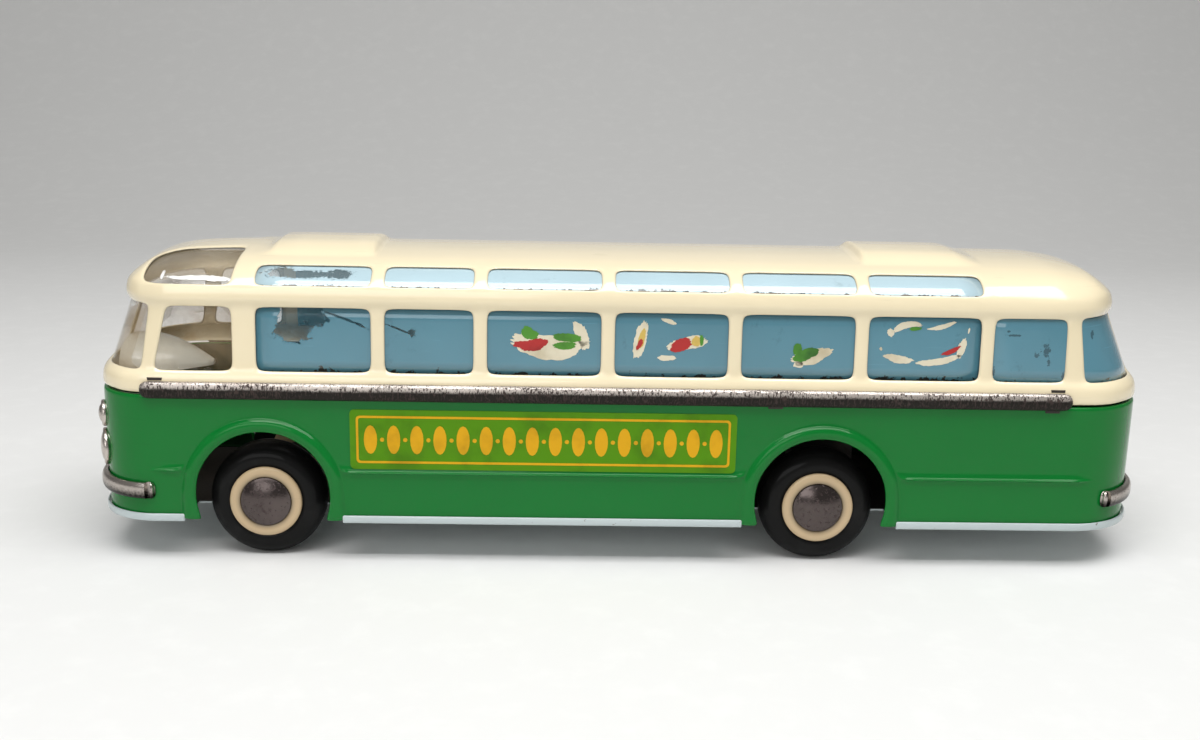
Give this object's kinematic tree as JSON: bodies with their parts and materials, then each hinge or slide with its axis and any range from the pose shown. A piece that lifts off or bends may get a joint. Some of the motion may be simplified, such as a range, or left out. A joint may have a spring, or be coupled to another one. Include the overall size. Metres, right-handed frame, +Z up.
{
  "type": "toy bus",
  "caption": "Pressed-tin toy coach, cream over green, with plated trim, blue-backed windows and wheels that turn a geared friction flywheel.",
  "frame": {"origin": "on the floor under the middle of the coach", "axes": "+X to the front of the coach, +Y to its left side, +Z up"},
  "size_m": [0.28, 0.0674, 0.0808],
  "materials": {
    "cream_paint": "gloss stove enamel on tinplate",
    "green_paint": "gloss stove enamel on tinplate",
    "pale_paint": "gloss enamel on tinplate",
    "nickel_plate": "worn nickel plate",
    "clear_celluloid": "clear aged celluloid",
    "blue_celluloid": "celluloid painted blue on its back",
    "sign_print": "printed panel",
    "black_tyre": "satin black",
    "cream_plastic": "aged cream plastic",
    "steel": "bare steel",
    "brass": "bare brass",
    "flywheel_metal": "dull cast metal"
  },
  "bodies": {
    "coach_body": {"upper_body": "cream_paint", "lower_body": "green_paint", "base_pan": "pale_paint", "cab_cowl": "pale_paint", "left_belt_rail": "nickel_plate", "right_belt_rail": "nickel_plate", "front_bumper": "nickel_plate", "rear_bumper": "nickel_plate", "left_headlamp": "nickel_plate", "right_headlamp": "nickel_plate", "left_small_lamp": "nickel_plate", "right_small_lamp": "nickel_plate", "windscreen": "clear_celluloid", "left_corner_window": "clear_celluloid", "right_corner_window": "clear_celluloid", "rear_window": "blue_celluloid", "left_side_windows": "blue_celluloid", "right_side_windows": "blue_celluloid", "left_roof_windows": "blue_celluloid", "right_roof_windows": "blue_celluloid", "left_sign_panel": "sign_print", "right_sign_panel": "sign_print", "front_axle_bracket": "steel", "left_motor_plate": "steel", "right_motor_plate": "steel", "motor_spacers": "steel"},
    "front_wheels": {"front_axle": "steel", "front_left_tyre": "black_tyre", "front_left_rim": "cream_plastic", "front_left_hubcap": "nickel_plate", "front_right_tyre": "black_tyre", "front_right_rim": "cream_plastic", "front_right_hubcap": "nickel_plate"},
    "rear_wheels": {"rear_axle": "steel", "drive_gear": "brass", "rear_left_tyre": "black_tyre", "rear_left_rim": "cream_plastic", "rear_left_hubcap": "nickel_plate", "rear_right_tyre": "black_tyre", "rear_right_rim": "cream_plastic", "rear_right_hubcap": "nickel_plate"},
    "lay_train": {"lay_shaft": "steel", "lay_pinion": "brass", "lay_gear": "brass"},
    "flywheel_train": {"flywheel_arbor": "steel", "flywheel_pinion": "brass", "flywheel": "flywheel_metal"}
  },
  "joints": [
    {"name": "front_axle_spin", "type": "hinge", "parent": "coach_body", "child": "front_wheels", "pos_m": [0.0932, 0, 0.015], "axis": [0, 1, 0], "continuous": true},
    {"name": "rear_axle_spin", "type": "hinge", "parent": "coach_body", "child": "rear_wheels", "pos_m": [-0.0508, 0, 0.015], "axis": [0, 1, 0], "continuous": true},
    {"name": "lay_shaft_spin", "type": "hinge", "parent": "coach_body", "child": "lay_train", "pos_m": [-0.04611, 0, 0.02383], "axis": [0, 1, 0], "continuous": true},
    {"name": "flywheel_spin", "type": "hinge", "parent": "coach_body", "child": "flywheel_train", "pos_m": [-0.03626, 0, 0.02557], "axis": [0, 1, 0], "continuous": true}
  ],
  "couplings": [
    {"joint": "lay_shaft_spin", "follows": "rear_axle_spin", "ratio": -3},
    {"joint": "flywheel_spin", "follows": "rear_axle_spin", "ratio": 9}
  ]
}
